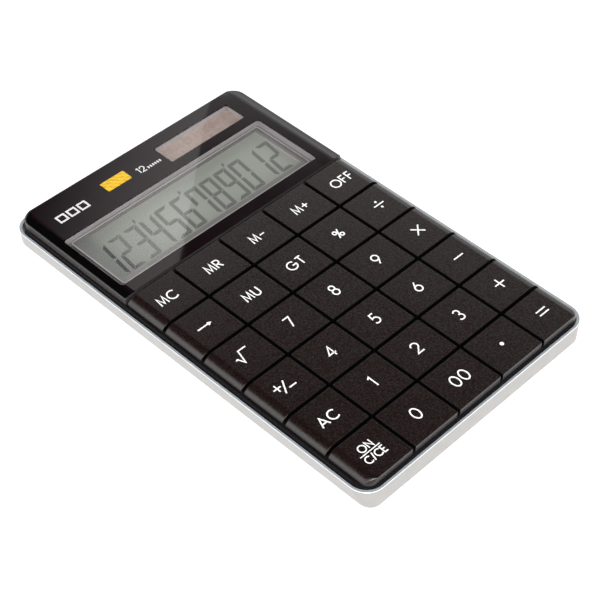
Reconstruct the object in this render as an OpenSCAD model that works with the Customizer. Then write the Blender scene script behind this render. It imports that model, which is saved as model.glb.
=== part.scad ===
// Pocket calculator: slim case, thirty tiled keys, twelve-digit display, solar cell and button cell.
// Millimetres. The origin is the centre of the footprint on the table, +Y towards the display, +Z up.

/* [Case] */
// Length of the case from front to rear
case_length = 160; // [159.5:0.5:161]
// Width of the case at its rim
case_width = 103.6; // [103.4:0.1:104]
// Height of the key tops above the table
overall_height = 13; // [13:0.1:13.4]
// Height of the case rim above the table
rim_height = 9.2; // [9.1:0.1:9.4]
// How far each side wall leans in from the rim to the floor
side_lean = 2.2; // [2:0.1:2.4]
// Plan radius of the rim corners
rim_corner_r = 6.8; // [6:0.1:7]
// Plan radius of the floor corners
floor_corner_r = 4; // [3.5:0.1:5]
// Thickness of the case floor
floor_thickness = 1.6; // [1.5:0.1:1.6]
// Thickness of the case walls below the frame
wall_thickness = 1.8; // [1.7:0.1:1.9]
// Thickness of the lip at the rim
lip_thickness = 0.9; // [0.8:0.05:0.95]

/* [Keys] */
// Distance between key columns
column_pitch = 20; // [19.9:0.1:20]
// Distance between key rows
row_pitch = 17.4; // [17.3:0.05:17.4]
// Gap between neighbouring keys
key_gap = 0.8; // [0.7:0.05:0.9]
// Height of a key cap
cap_height = 2.6; // [2.5:0.1:2.6]
// How far a key travels
key_travel = 1.2; // [1:0.1:1.2]
// Radius of the roll along the outer edge of the outer keys
key_roll_r = 2; // [1.5:0.1:2.2]
// Plan radius of the outer corner on the front corner keys
key_corner_r = 3.5; // [2:0.5:4]

/* [Display] */
// Thickness of the clear display cover
cover_thickness = 1.2; // [1.1:0.1:1.2]
// Height of the display glass above the table, at its front polariser
lcd_height = 8.6; // [8.5:0.1:8.6]
// Depth of the window ledge above the display glass
ledge_thickness = 0.55; // [0.4:0.05:0.7]

/* [Battery] */
// Diameter of the button cell
cell_diameter = 11.6; // [11.4:0.1:11.6]
// Thickness of the button cell
cell_thickness = 3.05; // [2.9:0.05:3.05]
// How far the battery door slides
door_travel = 5; // [4:0.5:5]

/* [Feet and screws] */
// Diameter of a rubber foot
foot_diameter = 8; // [6:0.5:8]
// How far a foot stands out below the case
foot_height = 0.9; // [0.9:0.1:1]
// Diameter of a case screw thread
case_screw_d = 2; // [1.8:0.1:2.2]
// Diameter of a board screw thread
board_screw_d = 1.6; // [1.4:0.1:1.7]

/* [Hidden] */
$fn = 48;
HULL_FN = 32;
OVERLAP = 0.01;

// Key node names by row, display side first
KEY_ROWS = [
    ["key_memory_clear", "key_memory_recall", "key_memory_minus", "key_memory_plus", "key_off"],
    ["key_backspace", "key_markup", "key_grand_total", "key_percent", "key_divide"],
    ["key_square_root", "key_7", "key_8", "key_9", "key_multiply"],
    ["key_sign", "key_4", "key_5", "key_6", "key_minus"],
    ["key_all_clear", "key_1", "key_2", "key_3", "key_plus"],
    ["key_on_clear", "key_0", "key_00", "key_point", "key_equals"]
];
COLUMNS = len(KEY_ROWS[0]);
ROWS = len(KEY_ROWS);

// Heights of the stack, from the table up
floor_top = foot_height + floor_thickness;
board_bottom = floor_top + 1.1;
board_top = board_bottom + 1;
mat_thickness = 0.6;
mat_top = board_top + mat_thickness;
pill_thickness = 0.3;
dome_top = mat_top + key_travel + pill_thickness;
cap_bottom = overall_height - cap_height;
plate_thickness = 1.3;
plate_top = cap_bottom - key_travel - 0.3;
plate_bottom = plate_top - plate_thickness;
cover_bottom = overall_height - cover_thickness;
mask_thickness = 0.2;
mask_bottom = cover_bottom - mask_thickness;

// Plan of the keypad and the display panel
key_length = row_pitch - key_gap;
key_width = column_pitch - key_gap;
keypad_front = -case_length / 2 + lip_thickness + 0.05;
keypad_centre_y = keypad_front + ROWS * row_pitch / 2;
keypad_rear = keypad_front + ROWS * row_pitch;
keypad_half = COLUMNS * column_pitch / 2 - key_gap * 0.75;
panel_front = keypad_rear + key_gap / 2;
panel_rear = case_length / 2 - 1.95;
panel_half = keypad_half;
panel_corner_r = 4.5;

// Key internals
cap_wall = 1.6;
cap_roof = 1.2;
stem_width = 4;
stem_clearance = 0.3;
leg_x = 6;
leg_thickness = 0.9;
leg_width = 3;
barb_reach = 0.7;
barb_height = 0.6;
leg_bottom = plate_bottom - 0.1 - barb_height;
stem_bottom = dome_top + 0.05;

// Display windows as [left, right, front, rear]
LCD_WINDOW = [-45.8, 43.2, 31.2, 59.9];
LCD_APERTURE = [-42.3, 40, 35.6, 59.7];
LCD_GLASS = [-46, 43.7, 31, 61.8];
LCD_OPENING = [-46.3, 44, 30.7, 62.1];
SOLAR_WINDOW = [6.2, 40.8, 64, 73.5];
SOLAR_CELL = [5.4, 41.6, 63.2, 74.3];
polariser_thickness = 0.2;
glass_thickness = 0.6;
glass_ledge = 2.6;
solar_thickness = 0.8;

// Board and mat
board_half = 47;
board_front = -76.5;
board_rear = 64;
mat_rear = 22;
DOME_BASE_R = 4.2;
DOME_TOP_R = 3;
dome_wall = 0.6;
pill_r = 1.9;

// Battery well and door
cell_x = -28;
cell_y = 71.8;
door_bottom = foot_height + 0.05;
door_top = door_bottom + 1.15;
door_half = 9;
door_front = 64.2;
door_rear = 77.4;
door_gap = 0.2;
tongue_reach = 0.9;
TONGUES = [[66.2, 68.6], [73.4, 75.8]];
cell_bottom = door_top + 0.05;
cell_top = cell_bottom + cell_thickness;
well_r = cell_diameter / 2 + 0.3;
well_wall = 1.1;
well_top = cell_top + 0.2;
strip_thickness = 0.2;

// Fastener and foot places
CASE_SCREWS = [
    for (x = [-1.5, 1.5], row = [-2, 1]) [x * column_pitch, keypad_centre_y + row * row_pitch],
    for (x = [-12, 12]) [x, 72]
];
BOARD_SCREWS = [
    for (x = [-0.5, 0.5], row = [-1, 1]) [x * column_pitch, keypad_centre_y + row * row_pitch],
    for (x = [-30, 30]) [x, 27.2]
];
case_boss_r = 2.4;
board_boss_r = 1.8;
foot_x = 43;
foot_y = 70;
foot_recess = 0.5;

// ---- Shared shapes ----

// Rectangle centred on the origin with round corners
module round_rect(width, length, r) {
    square([width - 2 * r, length], center = true);
    square([width, length - 2 * r], center = true);
    for (x = [-1, 1], y = [-1, 1])
        translate([x * (width / 2 - r), y * (length / 2 - r)])
            circle(r);
}

// Thin slab of a rounded rectangle, used as one layer of a hull
module hull_layer(z, width, length, r) {
    translate([0, 0, z])
        linear_extrude(OVERLAP)
            round_rect(width, length, r, $fn = HULL_FN);
}

// Upright block between [left, right, front, rear] and two heights
module block(area, bottom, top) {
    translate([area[0], area[2], bottom])
        cube([area[1] - area[0], area[3] - area[2], top - bottom]);
}

// Upright cylinder between two heights
module post(place, r, bottom, top) {
    translate([place[0], place[1], bottom])
        cylinder(r = r, h = top - bottom);
}

// Outline of the display panel, shrunk by inset: round corners at the rear, near square at the front
module panel_outline(inset) {
    width = 2 * (panel_half - inset);
    front = panel_front + inset;
    rear = panel_rear - inset;
    r = panel_corner_r - inset;
    translate([-width / 2, front])
        square([width, rear - front - r]);
    translate([-width / 2 + r, front])
        square([width - 2 * r, rear - front]);
    for (x = [-1, 1])
        translate([x * (width / 2 - r), rear - r])
            circle(r);
}

function grow(area, by) = [area[0] - by, area[1] + by, area[2] - by, area[3] + by];

function key_x(column) = (column - (COLUMNS - 1) / 2) * column_pitch;

function key_y(row) = keypad_centre_y + ((ROWS - 1) / 2 - row) * row_pitch;

// Half width and corner radius of the case at height z
function case_slope(z) = (z - foot_height) / (rim_height - foot_height);

function case_half(z) = case_width / 2 - side_lean * (1 - case_slope(z));

function case_corner(z) = floor_corner_r + (rim_corner_r - floor_corner_r) * case_slope(z);

// ---- Case ----

// Layer of the case at height z, shrunk by inset all round
module case_layer(z, inset) {
    hull_layer(z, 2 * (case_half(z) - inset), case_length - 2 * inset, case_corner(z) - inset * 0.5);
}

module case_shell() {
    hull() {
        case_layer(foot_height, 1.4);
        case_layer(foot_height + 0.35, 0.55);
        case_layer(foot_height + 1.2, 0);
        case_layer(rim_height - OVERLAP, 0);
    }
}

// Inside of the case: the lower part, and a wider rebate that the frame drops into
module case_cavity() {
    hull() {
        case_layer(floor_top, wall_thickness);
        case_layer(plate_bottom + 1, wall_thickness);
    }
    hull() {
        case_layer(plate_bottom, lip_thickness);
        case_layer(rim_height + 1, lip_thickness);
    }
}

// Thick floor pad and round well that hold the button cell
module battery_well() {
    block([cell_x - 12, cell_x + 12, 57, 78.9], floor_top - OVERLAP, board_bottom - 0.2);
    post([cell_x, cell_y], well_r + well_wall, floor_top, well_top);
}

module battery_cutout() {
    recess = [cell_x - door_half, cell_x + door_half, door_front - door_travel - 0.2, door_rear];
    ceiling = door_top + 0.05;
    block(grow(recess, door_gap), 0, ceiling);
    post([cell_x, cell_y], well_r, 0, well_top + 1);
    groove_x = door_half + tongue_reach + door_gap;
    groove_rear = TONGUES[1][1] + door_gap;
    groove_front = TONGUES[0][0] - door_travel - door_gap;
    block([cell_x - groove_x, cell_x + groove_x, groove_front, groove_rear], door_bottom + 0.5, ceiling);
    for (tongue = TONGUES)
        block(
            [
                cell_x - groove_x, cell_x + groove_x,
                tongue[0] - door_travel - door_gap, tongue[1] - door_travel + door_gap
            ],
            0, ceiling
        );
}

// Slot in the well wall that lets the positive contact through
module well_slot() {
    block([cell_x - well_r - well_wall - 1, cell_x - well_r + 0.5, cell_y - 1, cell_y + 1], 4.6, well_top + 1);
}

module rear_case() {
    color("#d3d1ce")
        difference() {
            union() {
                difference() {
                    case_shell();
                    case_cavity();
                }
                battery_well();
                for (place = CASE_SCREWS)
                    post(place, case_boss_r, floor_top - OVERLAP, board_bottom - 0.1);
            }
            battery_cutout();
            well_slot();
            for (place = CASE_SCREWS) {
                post(place, case_screw_d + 0.2, 0, foot_height + 1);
                post(place, case_screw_d / 2 + 0.15, 0, board_bottom + 1);
            }
            for (x = [-foot_x, foot_x], y = [-foot_y, foot_y])
                post([x, y], foot_diameter / 2 + 0.1, 0, foot_height + foot_recess);
        }
}

module foot(x, y) {
    color("#1d1d1d")
        post([x, y], foot_diameter / 2, 0, foot_height + foot_recess - 0.05);
}

module case_screws() {
    color("#9a9a9a")
        for (place = CASE_SCREWS)
            difference() {
                union() {
                    post(place, case_screw_d - 0.1, foot_height + 0.1, foot_height + 1);
                    post(place, case_screw_d / 2, foot_height + 1, plate_bottom - 0.7);
                }
                for (turn = [0, 90])
                    translate([place[0], place[1], foot_height + 0.3])
                        rotate([0, 0, turn])
                            cube([2.2, 0.45, 1], center = true);
            }
}

module battery_door() {
    color("#cbc9c6")
        difference() {
            union() {
                block([cell_x - door_half, cell_x + door_half, door_front, door_rear], door_bottom, door_top);
                for (tongue = TONGUES)
                    block(
                        [cell_x - door_half - tongue_reach, cell_x + door_half + tongue_reach, tongue[0], tongue[1]],
                        door_bottom + 0.6, door_top
                    );
            }
            for (ridge = [0 : 4])
                block([cell_x - 5, cell_x + 5, 66.4 + ridge * 1.2, 67 + ridge * 1.2], 0, door_bottom + 0.35);
        }
}

// ---- Battery ----

module button_cell() {
    color("#c8c8c4") {
        post([cell_x, cell_y], cell_diameter / 2, cell_bottom, cell_top - 0.4);
        post([cell_x, cell_y], cell_diameter / 2 - 1, cell_top - 0.4 - OVERLAP, cell_top);
    }
}

module battery_contact_negative() {
    arm_bottom = well_top + 0.05;
    arm_top = arm_bottom + strip_thickness;
    left = cell_x - 1.5;
    right = cell_x + 1.5;
    color("#b9b08f") {
        block([left, right, 63, cell_y + 1.5], arm_bottom, arm_top);
        block([left, right, 63, 63 + strip_thickness], board_top, arm_top);
        block([left, right, 61.9, 63 + strip_thickness], board_top, board_top + strip_thickness);
        post([cell_x, cell_y], 1, cell_top, arm_bottom + OVERLAP);
    }
}

module battery_contact_positive() {
    arm_bottom = well_top + 0.05;
    arm_top = arm_bottom + strip_thickness;
    blade_x = cell_x - cell_diameter / 2 - 0.05 - strip_thickness;
    outer = blade_x - 3.6;
    color("#b9b08f") {
        block([blade_x, blade_x + strip_thickness, cell_y - 0.65, cell_y + 0.65], cell_bottom + 0.5, arm_top);
        block([outer, blade_x + strip_thickness, cell_y - 0.65, cell_y + 0.65], arm_bottom, arm_top);
        block([outer, outer + 1.5, 63, cell_y + 0.65], arm_bottom, arm_top);
        block([outer, outer + 1.5, 63, 63 + strip_thickness], board_top, arm_top);
        block([outer, outer + 1.5, 61.9, 63 + strip_thickness], board_top, board_top + strip_thickness);
    }
}

// ---- Frame that carries the keys and the display ----

module key_openings() {
    hole = stem_width + 2 * stem_clearance;
    slot_in = leg_x - leg_thickness / 2 - 0.2;
    slot_out = leg_x + leg_thickness / 2 + 0.3;
    for (column = [0 : COLUMNS - 1], row = [0 : ROWS - 1])
        translate([key_x(column), key_y(row), plate_bottom - 1]) {
            translate([-hole / 2, -hole / 2, 0])
                cube([hole, hole, 4]);
            for (side = [0, 180])
                rotate([0, 0, side])
                    translate([slot_in, -leg_width / 2 - 0.2, 0])
                        cube([slot_out - slot_in, leg_width + 0.4, 4]);
        }
}

// Hooks under the plate that carry the display glass at its two ends
module lcd_hooks() {
    for (side = [-1, 1]) {
        edge = side < 0 ? LCD_GLASS[0] : LCD_GLASS[1];
        low = lcd_height - 2 * polariser_thickness - 2 * glass_thickness - 0.05;
        outside = edge + side * 0.3;
        inside = edge - side * 1;
        block(
            [min(outside, outside + side * 1.6), max(outside, outside + side * 1.6), 34, 54],
            low - 0.6, plate_bottom + OVERLAP
        );
        block([min(inside, outside + side), max(inside, outside + side), 34, 54], low - 0.6, low);
    }
}

module key_frame() {
    frame_half = case_half(plate_bottom) - lip_thickness - 0.15;
    frame_length = case_length - 2 * lip_thickness - 0.3;
    frame_r = 6.4;
    lip_height = rim_height + 0.6;
    lip_width = 0.5;
    color("#171617")
        difference() {
            union() {
                translate([0, 0, plate_bottom])
                    linear_extrude(plate_top - plate_bottom)
                        round_rect(2 * frame_half, frame_length, frame_r);
                // Low lips that show between the outer keys and the case
                for (side = [-1, 1])
                    translate([side * (frame_half - lip_width / 2), 0, (plate_top + lip_height) / 2 - OVERLAP])
                        cube([lip_width, frame_length - 2 * frame_r, lip_height - plate_top], center = true);
                // Walls of the display housing
                translate([0, 0, plate_top - OVERLAP])
                    linear_extrude(cover_bottom - plate_top + OVERLAP)
                        difference() {
                            panel_outline(0);
                            panel_outline(1.2);
                        }
                for (place = CASE_SCREWS)
                    post(place, case_boss_r, board_bottom, plate_bottom + OVERLAP);
                for (place = BOARD_SCREWS)
                    post(place, board_boss_r, board_top, plate_bottom + OVERLAP);
                lcd_hooks();
            }
            key_openings();
            block(LCD_OPENING, plate_bottom - OVERLAP, plate_top + OVERLAP);
            block([21, 27, 61.5, 65], plate_bottom - 1, plate_top + OVERLAP);
            for (place = CASE_SCREWS)
                post(place, case_screw_d / 2 + 0.05, board_bottom - 1, plate_bottom - 0.2);
            for (place = BOARD_SCREWS)
                post(place, board_screw_d / 2 + 0.05, board_top - 1, plate_bottom - 0.2);
        }
}

// ---- Keys ----

// Side profile of a cap, rolled along the outer edge: side is -1, 0 or 1
module cap_profile(left, right, side) {
    translate([left, 0])
        square([right - left, cap_height - key_roll_r]);
    flat_left = side < 0 ? left + key_roll_r : left;
    flat_right = side > 0 ? right - key_roll_r : right;
    translate([flat_left, 0])
        square([flat_right - flat_left, cap_height]);
    if (side != 0)
        translate([side < 0 ? flat_left : flat_right, cap_height - key_roll_r])
            circle(key_roll_r);
}

// Plan of a cap, with one round corner on the front corner keys
module cap_plan(left, right, side) {
    difference() {
        translate([left, -key_length / 2])
            square([right - left, key_length]);
        if (side != 0)
            translate([side < 0 ? left : right - key_corner_r, -key_length / 2])
                square(key_corner_r);
    }
    if (side != 0)
        translate([side < 0 ? left + key_corner_r : right - key_corner_r, -key_length / 2 + key_corner_r])
            circle(key_corner_r);
}

module cap(left, right, roll_side, corner_side) {
    difference() {
        intersection() {
            translate([0, key_length / 2, cap_bottom])
                rotate([90, 0, 0])
                    linear_extrude(key_length)
                        cap_profile(left, right, roll_side);
            translate([0, 0, cap_bottom])
                linear_extrude(cap_height)
                    cap_plan(left, right, corner_side);
        }
        block(
            [left + cap_wall, right - cap_wall, -key_length / 2 + cap_wall, key_length / 2 - cap_wall],
            cap_bottom - OVERLAP, overall_height - cap_roof
        );
    }
}

// Plunger that presses the dome, and two legs with barbs that hold the key in the frame
module key_stem() {
    root = overall_height - cap_roof + OVERLAP;
    half = stem_width / 2;
    block([-half, half, -half, half], stem_bottom, root);
    for (side = [0, 180])
        rotate([0, 0, side]) {
            inner = leg_x - leg_thickness / 2;
            outer = leg_x + leg_thickness / 2;
            block([inner, outer, -leg_width / 2, leg_width / 2], leg_bottom, root);
            block([inner, outer + barb_reach, -leg_width / 2, leg_width / 2], leg_bottom, leg_bottom + barb_height);
        }
}

module key(column, row) {
    x = key_x(column);
    left = max(-key_width / 2, -keypad_half - x);
    right = min(key_width / 2, keypad_half - x);
    roll_side = column == 0 ? -1 : column == COLUMNS - 1 ? 1 : 0;
    corner_side = row == ROWS - 1 ? roll_side : 0;
    color("#2b2321")
        translate([x, key_y(row), 0]) {
            cap(left, right, roll_side, corner_side);
            key_stem();
        }
}

// ---- Board, mat and what is on them ----

module main_board() {
    color("#2f6b3c")
        difference() {
            block([-board_half, board_half, board_front, board_rear], board_bottom, board_top);
            for (place = CASE_SCREWS)
                post(place, case_boss_r + 0.2, board_bottom - 1, board_top + 1);
            for (place = BOARD_SCREWS)
                post(place, board_screw_d / 2 + 0.1, board_bottom - 1, board_top + 1);
        }
}

module dome_mat() {
    color("#b8b6ae")
        difference() {
            union() {
                block([-board_half, board_half, board_front, mat_rear], board_top, mat_top);
                for (column = [0 : COLUMNS - 1], row = [0 : ROWS - 1])
                    translate([key_x(column), key_y(row), mat_top - OVERLAP])
                        cylinder(r1 = DOME_BASE_R, r2 = DOME_TOP_R, h = dome_top - mat_top + OVERLAP);
            }
            for (column = [0 : COLUMNS - 1], row = [0 : ROWS - 1])
                translate([key_x(column), key_y(row), board_top - OVERLAP])
                    cylinder(
                        r1 = DOME_BASE_R - dome_wall, r2 = DOME_TOP_R - dome_wall,
                        h = dome_top - dome_wall - board_top
                    );
            for (place = CASE_SCREWS)
                post(place, case_boss_r + 0.2, board_top - 1, mat_top + 1);
            for (place = BOARD_SCREWS)
                post(place, board_boss_r + 0.2, board_top - 1, mat_top + 1);
        }
}

module contact_pills() {
    roof = dome_top - dome_wall - OVERLAP;
    color("#101010")
        for (column = [0 : COLUMNS - 1], row = [0 : ROWS - 1])
            post([key_x(column), key_y(row)], pill_r, roof - pill_thickness, roof);
}

module board_screws() {
    color("#9a9a9a")
        for (place = BOARD_SCREWS) {
            post(place, board_screw_d, board_bottom - 0.8, board_bottom);
            post(place, board_screw_d / 2, board_bottom - OVERLAP, plate_bottom - 0.7);
        }
}

module processor() {
    color("#141414")
        translate([0, 45, board_top])
            intersection() {
                translate([0, 0, 1.5 - 9.5])
                    sphere(9.5);
                cylinder(r = 5, h = 3);
            }
}

module capacitor() {
    color("#3a5ba0")
        translate([22, 46, board_top + 1.1])
            rotate([0, 90, 0])
                cylinder(r = 1.1, h = 6);
}

module resistors() {
    color("#2b2b2b")
        for (place = [0 : 2])
            block([-26 + place * 4, -24 + place * 4, 44, 45.25], board_top, board_top + 0.5);
}

// ---- Display ----

module display_cover() {
    color([0.55, 0.57, 0.6, 0.35])
        translate([0, 0, cover_bottom])
            linear_extrude(cover_thickness)
                panel_outline(0);
}

module display_mask() {
    color("#141214")
        difference() {
            translate([0, 0, mask_bottom])
                linear_extrude(mask_thickness)
                    panel_outline(1.25);
            block(LCD_WINDOW, 0, 20);
            block(SOLAR_WINDOW, 0, 20);
        }
}

module display_bezel() {
    bezel_floor = lcd_height + 0.05;
    ledge_top = bezel_floor + ledge_thickness;
    pocket_top = plate_top + solar_thickness + 0.05;
    color("#a39b9e")
        difference() {
            union() {
                translate([0, 0, plate_top])
                    linear_extrude(mask_bottom - plate_top)
                        panel_outline(1.3);
                block(grow(LCD_OPENING, -0.2), bezel_floor, plate_top + OVERLAP);
            }
            block(LCD_APERTURE, 0, 20);
            block(LCD_WINDOW, ledge_top, 20);
            block(SOLAR_WINDOW, pocket_top - OVERLAP, 20);
            block(grow(SOLAR_CELL, 0.1), plate_top - 1, pocket_top);
        }
}

module lcd_layer(area, top, thickness) {
    block(area, top - thickness, top);
}

module lcd_front_polariser() {
    color("#8b968b")
        lcd_layer(grow(LCD_GLASS, -1.3), lcd_height, polariser_thickness);
}

module lcd_front_glass() {
    color("#a9b4aa")
        lcd_layer(LCD_GLASS, lcd_height - polariser_thickness, glass_thickness);
}

// Rear glass, shorter at the rear so that the contact strip meets the front glass
module lcd_rear_glass() {
    area = [LCD_GLASS[0], LCD_GLASS[1], LCD_GLASS[2], LCD_GLASS[3] - glass_ledge];
    color("#9aa59b")
        lcd_layer(area, lcd_height - polariser_thickness - glass_thickness, glass_thickness);
}

module lcd_reflector() {
    area = [LCD_GLASS[0], LCD_GLASS[1], LCD_GLASS[2], LCD_GLASS[3] - glass_ledge];
    color("#b4bcb0")
        lcd_layer(
            grow(area, -0.6),
            lcd_height - polariser_thickness - 2 * glass_thickness, polariser_thickness
        );
}

module zebra_connector() {
    glass_face = lcd_height - polariser_thickness - glass_thickness;
    color("#d58ba0")
        block([-41, 39, LCD_GLASS[3] - 2, LCD_GLASS[3] - 0.5], board_top, glass_face);
}

module solar_cell() {
    color("#4a3a36")
        block(SOLAR_CELL, plate_top, plate_top + solar_thickness);
}

module solar_lead(x) {
    post([x, 63.6], 0.35, board_top, plate_top);
}

module solar_lead_positive() {
    color("#b02020")
        solar_lead(22.5);
}

module solar_lead_negative() {
    color("#151515")
        solar_lead(25.5);
}

module feature_label() {
    color("#f6c628")
        block([-20.1, -9.8, 66.7, 71.6], overall_height, overall_height + 0.1);
}

rear_case();
key_frame();
display_cover();
display_mask();
display_bezel();
lcd_front_polariser();
lcd_front_glass();
lcd_rear_glass();
lcd_reflector();
zebra_connector();
solar_cell();
solar_lead_positive();
solar_lead_negative();
main_board();
processor();
capacitor();
resistors();
dome_mat();
contact_pills();
board_screws();
case_screws();
battery_contact_positive();
battery_contact_negative();
button_cell();
battery_door();
feature_label();
foot(-foot_x, -foot_y);  // foot_front_left
foot(foot_x, -foot_y);  // foot_front_right
foot(-foot_x, foot_y);  // foot_rear_left
foot(foot_x, foot_y);  // foot_rear_right
for (row = [0 : ROWS - 1], column = [0 : COLUMNS - 1])
    key(column, row);
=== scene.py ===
"""Looks for the pocket calculator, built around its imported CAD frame.

Shapes are written in millimetres and turned into metres when a mesh is made. The frame's origin is the
centre of the footprint on the table, with +Y towards the display and +Z up.
"""

import math

import bmesh
import bpy
from mathutils import Matrix, Vector


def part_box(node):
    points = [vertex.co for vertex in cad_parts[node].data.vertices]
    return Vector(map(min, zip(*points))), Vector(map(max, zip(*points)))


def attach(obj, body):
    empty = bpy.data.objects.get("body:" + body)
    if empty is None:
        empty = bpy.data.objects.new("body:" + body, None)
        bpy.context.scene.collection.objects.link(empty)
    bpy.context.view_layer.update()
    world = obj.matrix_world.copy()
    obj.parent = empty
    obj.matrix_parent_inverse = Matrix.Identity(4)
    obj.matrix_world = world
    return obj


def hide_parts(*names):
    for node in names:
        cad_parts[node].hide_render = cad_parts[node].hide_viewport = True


MM = 0.001
# A face whose normal points up by more than this counts as level
LEVEL = 0.999

# Keypad
KEY_ROWS = (
    ("key_memory_clear", "key_memory_recall", "key_memory_minus", "key_memory_plus", "key_off"),
    ("key_backspace", "key_markup", "key_grand_total", "key_percent", "key_divide"),
    ("key_square_root", "key_7", "key_8", "key_9", "key_multiply"),
    ("key_sign", "key_4", "key_5", "key_6", "key_minus"),
    ("key_all_clear", "key_1", "key_2", "key_3", "key_plus"),
    ("key_on_clear", "key_0", "key_00", "key_point", "key_equals"),
)
LAST_COLUMN = 4
LAST_ROW = 5
COLUMN_PITCH = 20.0
CAP_HEIGHT = 2.6
CAP_EDGE_R = 0.14
CAP_SHRINK = 0.24
CAP_ROLL_WIDTH = 3.8
CAP_ROLL_DEGREES = 56
CAP_CORNER_R = 3.5
CAP_WALL = 1.6
CAP_ROOF = 1.2
CORNER_STEPS = 10
ROLL_STEPS = 14

# Legends
STROKE = 0.5
FINE_STROKE = 0.42
LETTER_HEIGHT = 4.1
DIGIT_HEIGHT = 4.7
LETTER_GAP = 0.28
INK_THICKNESS = 0.02
INK_STEP = 0.0008

# Display panel
PANEL_TOP = 13.0
PANEL_ROLL_WIDTH = 4.3
PANEL_ROLL_HEIGHT = 0.6
PANEL_EDGE_R = 0.25
PANEL_CORNER_R = 4.5
MASK_INSET = 0.12
LCD_WINDOW = (-45.8, 43.2, 31.2, 59.9)
SOLAR_WINDOW = (6.2, 40.8, 64.0, 73.5)
WINDOW_CORNER_R = 1.1
WINDOW_SHIFT = (-0.86, -0.8)
LIP_SIDE_INSET = 2.05
LIP_END_INSET = 1.4
LIP_THICKNESS = 0.3
LIP_BOTTOM = 8.9
LIP_TOP = 10.6
PRINT_ROW_Y = 67.6

# Digits on the display
LCD_TEXT = "123456789012"
LCD_TICKS_AFTER = (2, 5, 8)
LCD_BASELINE = 36.45
LCD_DIGIT_HEIGHT = 15.9
LCD_DIGIT_WIDTH = 4.1
LCD_PITCH = 6.83
LCD_FIRST_X = -38.2
LCD_SLANT = 0.131
SEGMENT_WIDTH = 1.3
SEGMENT_GAP = 0.12
SEGMENT_THICKNESS = 0.02
SEGMENT_SUNK = 0.01
# Brightness of the film at places from left to right, painted shading: the darker left end is painted shade
# cast by the window's left wall
POLARISER_PAINTED_SHADING = ((-38.0, 0.6), (-34.5, 0.9), (-26.0, 1.08), (-10.0, 1.25), (10.0, 1.13), (40.0, 1.16))

# Case
RIM_TOP = 9.2
FLOOR_BOTTOM = 0.9
FLOOR_TOP = 2.5
REBATE_Z = 7.6
SIDE_LEAN = 2.2
RIM_CORNER_R = 6.8
FLOOR_CORNER_R = 4.0
WALL = 1.8
LIP = 0.9
HALF_WIDTH = 51.8
HALF_LENGTH = 80.0
FLOOR_EDGE_RISE = 1.2
FLOOR_EDGE_INSET = 1.4
RIM_OUTER_R = 0.17
RIM_INNER_R = 0.06
# Depth of the band at the top of the rim whose faces carry the painted reflection and the painted highlight
RIM_BAND = 0.3

# Places and sizes under the floor of the case
CASE_SCREWS = ((-30, -61.65), (-30, -9.45), (30, -61.65), (30, -9.45), (-12, 72), (12, 72))
SCREW_POST_R = 2.4
SCREW_POST_TOP = 3.5
SCREW_HEAD_R = 2.2
SCREW_HEAD_TOP = 1.9
SCREW_SHANK_R = 1.15
SCREW_SHANK_TOP = 5.0
CELL_PLACE = (-28.0, 71.8)
CELL_POST_R = 7.2
CELL_POST_TOP = 5.4
CELL_WELL_R = 6.1
CELL_WELL_TOP = 7.0
FOOT_PLACES = ((-43, -70), (-43, 70), (43, -70), (43, 70))
FOOT_HOLE_R = 4.1
FOOT_HOLE_TOP = 1.4
DOOR_PAD = (-40, -16, 57, 78.9)
DOOR_PAD_TOP = 3.4
DOOR_CEILING = 2.15
DOOR_OPENING = (-37.2, -18.8, 58.8, 77.6)
DOOR_GROOVE = (-38.1, -17.9, 61.0, 76.0)
DOOR_GROOVE_BOTTOM = 1.45
TONGUE_NOTCH_STARTS = (61.0, 68.2)
TONGUE_NOTCH_LENGTH = 2.8


# ---- Meshes ----


def link(obj):
    bpy.context.scene.collection.objects.link(obj)
    return obj


class Shape:
    """Closed surfaces gathered in millimetres, turned into one object."""

    def __init__(self):
        self.points = []
        self.faces = []

    def rings(self, rings, closed=False):
        """Skin over rings of equal length. The ends are capped, unless the last ring joins the first."""
        start = len(self.points)
        count = len(rings[0])
        for ring in rings:
            self.points.extend(ring)
        total = len(rings)
        for level in range(total if closed else total - 1):
            low = start + level * count
            high = start + (level + 1) % total * count
            for i in range(count):
                j = (i + 1) % count
                self.faces.append((low + i, low + j, high + j, high + i))
        if not closed:
            self.faces.append(tuple(range(start + count - 1, start - 1, -1)))
            self.faces.append(tuple(start + (total - 1) * count + i for i in range(count)))

    def box(self, left, right, front, rear, bottom, top):
        self.prism(box_plan(left, right, front, rear), bottom, top)

    def prism(self, plan, bottom, top):
        self.rings([[(x, y, z) for x, y in plan] for z in (bottom, top)])

    def stroke(self, points, width, bottom, top, closed=False):
        """Flat ribbon of one width along a line of plan points, with mitred corners."""
        half = width / 2
        count = len(points)
        sections = []
        for i, (x, y) in enumerate(points):
            before = points[i - 1] if i or closed else None
            after = points[(i + 1) % count] if i < count - 1 or closed else None
            across = mitre(before, (x, y), after, half)
            left = (x + across[0], y + across[1])
            right = (x - across[0], y - across[1])
            sections.append([(*right, bottom), (*left, bottom), (*left, top), (*right, top)])
        self.rings(sections, closed)

    def build(self, name, material, sharp_degrees=35):
        mesh = bpy.data.meshes.new(name)
        mesh.from_pydata([Vector(p) * MM for p in self.points], [], self.faces)
        return finished_object(name, mesh, material, sharp_degrees)


def finished_object(name, mesh, material, sharp_degrees):
    """Object of a mesh whose seams are joined and whose faces all look outwards."""
    work = bmesh.new()
    work.from_mesh(mesh)
    bmesh.ops.remove_doubles(work, verts=work.verts, dist=1e-7)
    bmesh.ops.recalc_face_normals(work, faces=work.faces)
    work.to_mesh(mesh)
    work.free()
    obj = link(bpy.data.objects.new(name, mesh))
    mesh.materials.clear()
    mesh.materials.append(material)
    smooth(obj, sharp_degrees)
    return obj


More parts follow.
